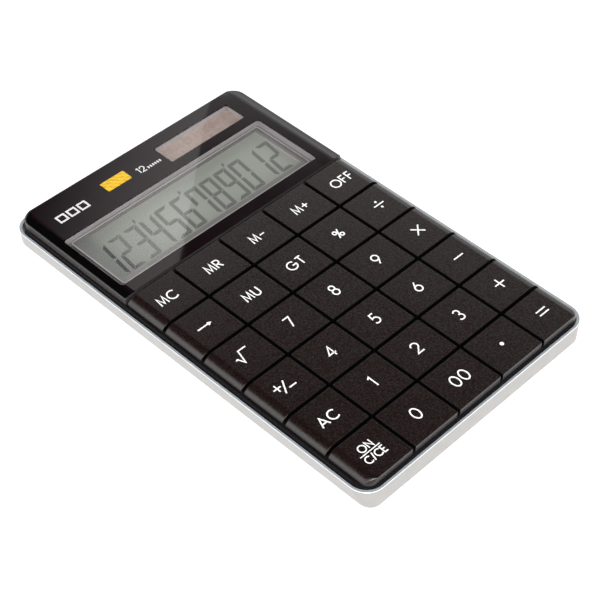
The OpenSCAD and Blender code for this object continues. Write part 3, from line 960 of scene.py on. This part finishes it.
def window_views():
    """Clear parts of the cover's top in metres, moved towards a user who looks in at a slant."""
    dx, dy = WINDOW_SHIFT
    for left, right, front, rear in (LCD_WINDOW, SOLAR_WINDOW):
        yield tuple(v * MM for v in (left + dx, right + dx, front + dy, rear + dy))


def split_cover_top(mesh):
    """Cuts the top face along the borders of the two see-through parts."""
    work = bmesh.new()
    work.from_mesh(mesh)
    for left, right, front, rear in window_views():
        borders = [((x, 0, 0), (1, 0, 0)) for x in (left, right)]
        borders += [((0, y, 0), (0, 1, 0)) for y in (front, rear)]
        for place, direction in borders:
            top_faces = [f for f in work.faces if f.normal.z > LEVEL]
            around = {e for f in top_faces for e in f.edges} | {v for f in top_faces for v in f.verts}
            bmesh.ops.bisect_plane(work, geom=top_faces + list(around), plane_co=place, plane_no=direction)
    work.to_mesh(mesh)
    work.free()


def cover_region(polygon):
    """Material of a face of the cover: 0 see-through, 1 black roll, 2 black print, 3 side, painted paler as a
    reflection of the bright table.
    """
    if polygon.normal.z < -0.75:
        return 0
    if polygon.normal.z < 0.3:
        return 3
    if polygon.normal.z < LEVEL:
        return 1
    x, y = polygon.center.x, polygon.center.y
    for left, right, front, rear in window_views():
        if left < x < right and front < y < rear:
            return 0
    return 2


def build_emblem(material):
    """A plain row of three open squares, and a capacity number followed by small blocks."""
    squares = Ink(Vector((-35.2, PRINT_ROW_Y, PANEL_TOP)), 0.7)
    half = 1.5
    for x in (-4.5, 0.0, 4.5):
        squares.line(box_plan(x - half, x + half, -half, half), closed=True)
    emblem = squares.shape.build("panel_emblem", material)
    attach(emblem, "case")

    small = Ink(Vector((-4.9, PRINT_ROW_Y, PANEL_TOP)), 0.42)
    small.text("12", 3.1, 0.0, 0.0, gap=0.3)
    for block in range(6):
        x = 2.3 + block * 1.05
        small.fill(box_plan(x, x + 0.62, -1.35, -0.25))
    numerals = small.shape.build("panel_numerals", material)
    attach(numerals, "case")


def build_label(material):
    """Sticker with soft corners and a domed top."""
    low, high = box_mm("feature_label")
    shape = Shape()
    rings = []
    for inset, z in ((0.0, low.z), (0.0, high.z - 0.04), (0.12, high.z - 0.01), (0.35, high.z)):
        corner = (0.45 - inset * 0.5,) * 2
        area = (low.x + inset, high.x - inset, low.y + inset, high.y - inset)
        rings.append(at_height(outline(area, (corner,) * 4, 5), z))
    shape.rings(rings)
    label = shape.build("feature_label_foil", material, 60)
    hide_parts("feature_label")
    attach(label, "case")


# Segments lit for each digit, as top, upper right, lower right, bottom, lower left, upper left, middle
SEGMENTS = {
    "0": "1111110",
    "1": "0110000",
    "2": "1101101",
    "3": "1111001",
    "4": "0110011",
    "5": "1011011",
    "6": "1011111",
    "7": "1110010",
    "8": "1111111",
    "9": "1111011",
}


def segment_plans():
    """Outlines of the seven segments of one upright digit."""
    height = LCD_DIGIT_HEIGHT
    thick = SEGMENT_WIDTH
    gap = SEGMENT_GAP
    half = thick / 2
    middle = height / 2
    right = LCD_DIGIT_WIDTH + half
    left = -half

    def bar(y_outer, y_inner):
        return [
            (left + gap, y_outer),
            (right - gap, y_outer),
            (right - thick - gap, y_inner),
            (left + thick + gap, y_inner),
        ]

    def post(x_outer, x_inner, y_end, y_middle):
        towards = 1 if y_end < y_middle else -1
        return [
            (x_outer, y_end + towards * gap),
            (x_inner, y_end + towards * (thick + gap)),
            (x_inner, y_middle - towards * (half + gap)),
            (x_outer, y_middle - towards * gap),
        ]

    centre = [
        (left + gap + half * 0.4, middle),
        (left + thick + gap, middle - half),
        (right - thick - gap, middle - half),
        (right - gap - half * 0.4, middle),
        (right - thick - gap, middle + half),
        (left + thick + gap, middle + half),
    ]
    return [
        bar(height, height - thick),
        post(right, right - thick, height, middle),
        post(right, right - thick, 0.0, middle),
        bar(0.0, thick),
        post(left, left + thick, 0.0, middle),
        post(left, left + thick, height, middle),
        centre,
    ]


def build_digits(materials):
    """The number on the display, and the soft shadow it casts on the reflector behind."""
    film_top = box_mm("lcd_front_polariser")[1].z
    bottom = film_top - SEGMENT_SUNK
    plans = segment_plans()
    for name, material, shift, thickness in (
        ("lcd_digit_shadows", "lcd_shadow", (0.28, 0.32), SEGMENT_THICKNESS * 0.4),
        ("lcd_digits", "lcd_ink", (0.0, 0.0), SEGMENT_THICKNESS),
    ):
        shape = Shape()

        def place(x, y):
            return (x + y * LCD_SLANT + shift[0], y + LCD_BASELINE + shift[1])

        for index, digit in enumerate(LCD_TEXT):
            start = LCD_FIRST_X - LCD_DIGIT_WIDTH + index * LCD_PITCH
            for lit, plan in zip(SEGMENTS[digit], plans):
                if lit == "1":
                    shape.prism([place(start + x, y) for x, y in plan], bottom, film_top + thickness)
        for index in LCD_TICKS_AFTER:
            x = LCD_FIRST_X + index * LCD_PITCH + 1.0
            tick = [(x, 16.0), (x + 0.7, 16.9), (x + 0.7, 17.9), (x - 0.1, 17.9), (x - 0.1, 16.6)]
            shape.prism([place(*p) for p in tick], bottom, film_top + thickness)
        digits = shape.build(name, materials[material])
        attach(digits, "case")


# ---- Case ----


def case_outline(z, inset):
    """Plan of the case at a height, shrunk by inset: the sides lean in towards the floor."""
    slope = (z - FLOOR_BOTTOM) / (RIM_TOP - FLOOR_BOTTOM)
    half_x = HALF_WIDTH - SIDE_LEAN * (1 - slope) - inset
    half_y = HALF_LENGTH - inset
    radius = FLOOR_CORNER_R + (RIM_CORNER_R - FLOOR_CORNER_R) * slope - inset * 0.5
    return at_height(outline((-half_x, half_x, -half_y, half_y), ((radius, radius),) * 4, 16), z)


def case_profile():
    """Heights and insets from the outer edge of the floor, over the rim and down the inside of the wall."""
    profile = []
    for step in range(7):
        turn = math.pi / 2 * step / 6
        height = FLOOR_BOTTOM + FLOOR_EDGE_RISE * (1 - math.cos(turn))
        profile.append((height, FLOOR_EDGE_INSET * (1 - math.sin(turn))))
    profile += [(3.5, 0.0), (6.0, 0.0), (8.0, 0.0)]
    for step in range(7):
        turn = math.pi / 2 * step / 6
        height = RIM_TOP - RIM_OUTER_R + RIM_OUTER_R * math.sin(turn)
        profile.append((height, RIM_OUTER_R * (1 - math.cos(turn))))
    for step in range(5):
        turn = math.pi / 2 * step / 4
        height = RIM_TOP - RIM_INNER_R * (1 - math.cos(turn))
        profile.append((height, LIP - RIM_INNER_R * (1 - math.sin(turn))))
    profile += [(REBATE_Z, LIP), (REBATE_Z, WALL), (FLOOR_TOP + 0.4, WALL), (FLOOR_TOP, WALL + 0.4)]
    return profile


def build_case(materials):
    shell = Shape()
    shell.rings([case_outline(z, inset) for z, inset in case_profile()])
    case = shell.build("rear_case_shell", materials["silver_case"], 40)

    inside = FLOOR_TOP - 0.3
    joined = [prism_tool(circle_plan(CELL_PLACE, CELL_POST_R), inside, CELL_POST_TOP)]
    joined.append(prism_tool(box_plan(*DOOR_PAD), inside, DOOR_PAD_TOP))
    joined += [prism_tool(circle_plan(place, SCREW_POST_R), inside, SCREW_POST_TOP) for place in CASE_SCREWS]
    for tool in joined:
        boolean(case, tool, "UNION")

    cuts = [prism_tool(box_plan(*DOOR_OPENING), 0, DOOR_CEILING)]
    cuts.append(prism_tool(circle_plan(CELL_PLACE, CELL_WELL_R), 0, CELL_WELL_TOP))
    cuts.append(prism_tool(box_plan(*DOOR_GROOVE), DOOR_GROOVE_BOTTOM, DOOR_CEILING))
    left, right = DOOR_GROOVE[:2]
    for start in TONGUE_NOTCH_STARTS:
        cuts.append(prism_tool(box_plan(left, right, start, start + TONGUE_NOTCH_LENGTH), 0, DOOR_CEILING))
    for place in CASE_SCREWS:
        cuts.append(prism_tool(circle_plan(place, SCREW_HEAD_R), 0, SCREW_HEAD_TOP))
        cuts.append(prism_tool(circle_plan(place, SCREW_SHANK_R), 0, SCREW_SHANK_TOP))
    for place in FOOT_PLACES:
        cuts.append(prism_tool(circle_plan(place, FOOT_HOLE_R), 0, FOOT_HOLE_TOP))
    for tool in cuts:
        boolean(case, tool, "DIFFERENCE")
    smooth(case, 40)
    for name in ("silver_rim", "silver_edge_highlight"):
        case.data.materials.append(materials[name])
    # The rim's top gets a painted reflection and its outer edge a painted highlight
    for polygon in case.data.polygons:
        polygon.material_index = rim_region(polygon)
    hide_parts("rear_case")
    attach(case, "case")


def rim_region(polygon):
    """Material of a face of the case: 0 plain, 1 the flat top of the rim, painted bluish-grey as a reflection
    of the dark room above, 2 its rounded outer edge, painted near white as a highlight.
    """
    if polygon.center.z < (RIM_TOP - RIM_BAND) * MM:
        return 0
    if polygon.normal.z > 0.95:
        return 1
    return 2


def prism_tool(plan, bottom, top):
    """A plain block used to join to or cut from another piece."""
    shape = Shape()
    shape.prism(plan, bottom, top)
    mesh = bpy.data.meshes.new("tool")
    mesh.from_pydata([Vector(p) * MM for p in shape.points], [], shape.faces)
    return link(bpy.data.objects.new("tool", mesh))


def build_feet(materials):
    """Rubber feet with a round edge and a shallow ring."""
    edge = [(4.0, 1.35), (4.0, 0.35), (3.9, 0.12), (3.65, 0.0)]
    ring = [(2.7, 0.0), (2.6, 0.12), (2.3, 0.12), (2.2, 0.0)]
    for name in ("foot_front_left", "foot_front_right", "foot_rear_left", "foot_rear_right"):
        low, high = box_mm(name)
        centre = (low + high) / 2
        shape = Shape()
        shape.rings([at_height(circle_plan((centre.x, centre.y), r), z) for r, z in edge + ring])
        foot = shape.build(f"{name}_pad", materials["foot_rubber"], 50)
        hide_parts(name)
        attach(foot, "case")


def soften_nodes(nodes):
    """Small rounded edges on moulded CAD parts that show."""
    for name, width in (("battery_door", 0.15), ("key_frame", 0.2)):
        weld = nodes[name].modifiers.new("join split edges", "WELD")
        weld.merge_threshold = 0.001 * MM
        bevel = nodes[name].modifiers.new("soft edges", "BEVEL")
        bevel.width = width * MM
        bevel.segments = 3
        bevel.limit_method = "ANGLE"
        bevel.angle_limit = math.radians(50)
        bevel.use_clamp_overlap = True
        bevel.harden_normals = False


# ---- Stage ----

# Brightness of the surroundings at rising heights
BACKDROP_STOPS = (
    (0.0, 1.0), (0.3, 1.0), (0.42, 1.6), (0.5, 1.9), (0.54, 1.2), (0.57, 0.65), (0.6, 0.2), (0.64, 0.02),
)


def build_floor():
    """White table, so wide that its edge is never seen."""
    size = 6.0
    mesh = bpy.data.meshes.new("floor")
    mesh.from_pydata(at_height(box_plan(-size, size, -size, size), 0), [], [(0, 1, 2, 3)])
    floor = link(bpy.data.objects.new("floor", mesh))
    paper = Finish("floor_paper")
    fibres = paper.noise(40.0)
    paper.paint({"Base Color": paper.two_tone(fibres, (0.39, 0.39, 0.39), (0.41, 0.41, 0.41))})
    paper.paint({"Roughness": paper.spread(fibres, 0.85, 0.95), "Specular IOR Level": 0.0})
    # The table is lit from below, so that it stays white beside the object
    paper.paint({"Emission Color": (1, 1, 1, 1), "Emission Strength": 0.75})
    mesh.materials.append(paper.material)


def build_world():
    """White backdrop around the horizon with a dark room above it, as in a photographer's studio."""
    world = bpy.data.worlds.new("studio")
    bpy.context.scene.world = world
    world.use_nodes = True
    studio = Nodes(world.node_tree)
    direction = studio.add("TexCoord").outputs["Generated"]
    x = studio.axis(direction, "X")
    # The backdrop reaches higher at the right, and higher still at the left
    sideways = studio.calculate("ABSOLUTE", x)
    sloped = studio.calculate("MULTIPLY_ADD", sideways, -0.19, studio.axis(direction, "Z"))
    height = studio.calculate("MULTIPLY_ADD", x, 0.06, sloped)
    stops = [(position, (value, value, value)) for position, value in BACKDROP_STOPS]
    studio.put(studio.find("BACKGROUND"), {"Color": studio.ramp(height, stops)})


def add_area_light(name, place, size, power):
    """A soft light aimed at the middle of the object."""
    data = bpy.data.lights.new(name, "AREA")
    data.shape = "RECTANGLE"
    data.size, data.size_y = size
    data.energy = power
    lamp = link(bpy.data.objects.new(name, data))
    lamp.location = place
    lamp.rotation_mode = "QUATERNION"
    lamp.rotation_quaternion = (-Vector(place)).to_track_quat("-Z", "Y")


def build_reflector_card():
    """A glowing card beyond the display whose straight edge shows as a diagonal line in the cover."""
    height = 0.8
    edge_near = Vector((0.5076, 0.6297, height))
    edge_far = Vector((0.7013, 0.7928, height))
    along = (edge_far - edge_near).normalized()
    across = Vector((-along.y, along.x, 0))
    start = edge_near - along * 0.05
    end = edge_far + along * 0.25
    width = 0.32
    corners = [start, end, end + across * width, start + across * width]
    mesh = bpy.data.meshes.new("reflector_card")
    mesh.from_pydata(corners, [], [(0, 3, 2, 1)])
    card = link(bpy.data.objects.new("reflector_card", mesh))
    glow = Finish("card_glow")
    distance = glow.add("VectorMath", {0: glow.own_place(), 1: across})
    distance.operation = "DOT_PRODUCT"
    edge_offset = edge_near.dot(across)
    fade = (edge_offset, edge_offset + width * 0.6)
    strength = glow.spread(distance.outputs["Value"], 1.65, 0.0, fade)
    strength.node.interpolation_type = "SMOOTHSTEP"
    glow.paint({"Base Color": (0, 0, 0, 1), "Emission Color": (1, 0.97, 0.97, 1)})
    glow.paint({"Emission Strength": strength})
    mesh.materials.append(glow.material)


def build_camera():
    """Three-quarter view from the front left, turned a little about its own axis."""
    azimuth = math.radians(47.225)
    elevation = math.radians(45.54)
    roll = math.radians(2.007)
    reach = math.cos(elevation)
    forward = Vector((math.sin(azimuth) * reach, math.cos(azimuth) * reach, -math.sin(elevation)))
    level = forward.cross(Vector((0, 0, 1))).normalized()
    upright = level.cross(forward)
    right = level * math.cos(roll) + upright * math.sin(roll)
    up = upright * math.cos(roll) - level * math.sin(roll)
    data = bpy.data.cameras.new("camera")
    data.lens = 100.95
    data.sensor_width = 36.0
    camera = link(bpy.data.objects.new("camera", data))
    aim = Vector((-10.82, -13.30, 13.0)) * MM
    turn = Matrix((right, up, -forward)).transposed()
    distance = 529.05 * MM
    camera.matrix_world = Matrix.Translation(aim - forward * distance) @ turn.to_4x4()
    bpy.context.scene.camera = camera


def build_stage():
    build_floor()
    build_world()
    build_reflector_card()
    add_area_light("left_softbox", (-1.35, 0.3, 0.6), (1.8, 0.8), 7)
    add_area_light("front_softbox", (-0.1, -1.6, 0.8), (1.6, 0.8), 14)
    add_area_light("top_softbox", (-0.9, -0.85, 1.5), (1.2, 1.2), 34)
    build_camera()
    bpy.context.scene.view_settings.view_transform = "Standard"


# ---- Assembly ----

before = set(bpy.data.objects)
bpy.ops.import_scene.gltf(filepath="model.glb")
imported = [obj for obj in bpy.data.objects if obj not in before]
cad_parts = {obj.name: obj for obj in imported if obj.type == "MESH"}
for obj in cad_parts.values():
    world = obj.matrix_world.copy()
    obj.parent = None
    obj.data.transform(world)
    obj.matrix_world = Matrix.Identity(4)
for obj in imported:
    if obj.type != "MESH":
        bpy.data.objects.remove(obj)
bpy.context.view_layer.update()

FINISHES = make_materials()
paint_nodes(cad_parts, FINISHES)
build_case(FINISHES)
build_keys(FINISHES)
build_panel(FINISHES)
build_digits(FINISHES)
build_feet(FINISHES)
soften_nodes(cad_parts)
build_stage()
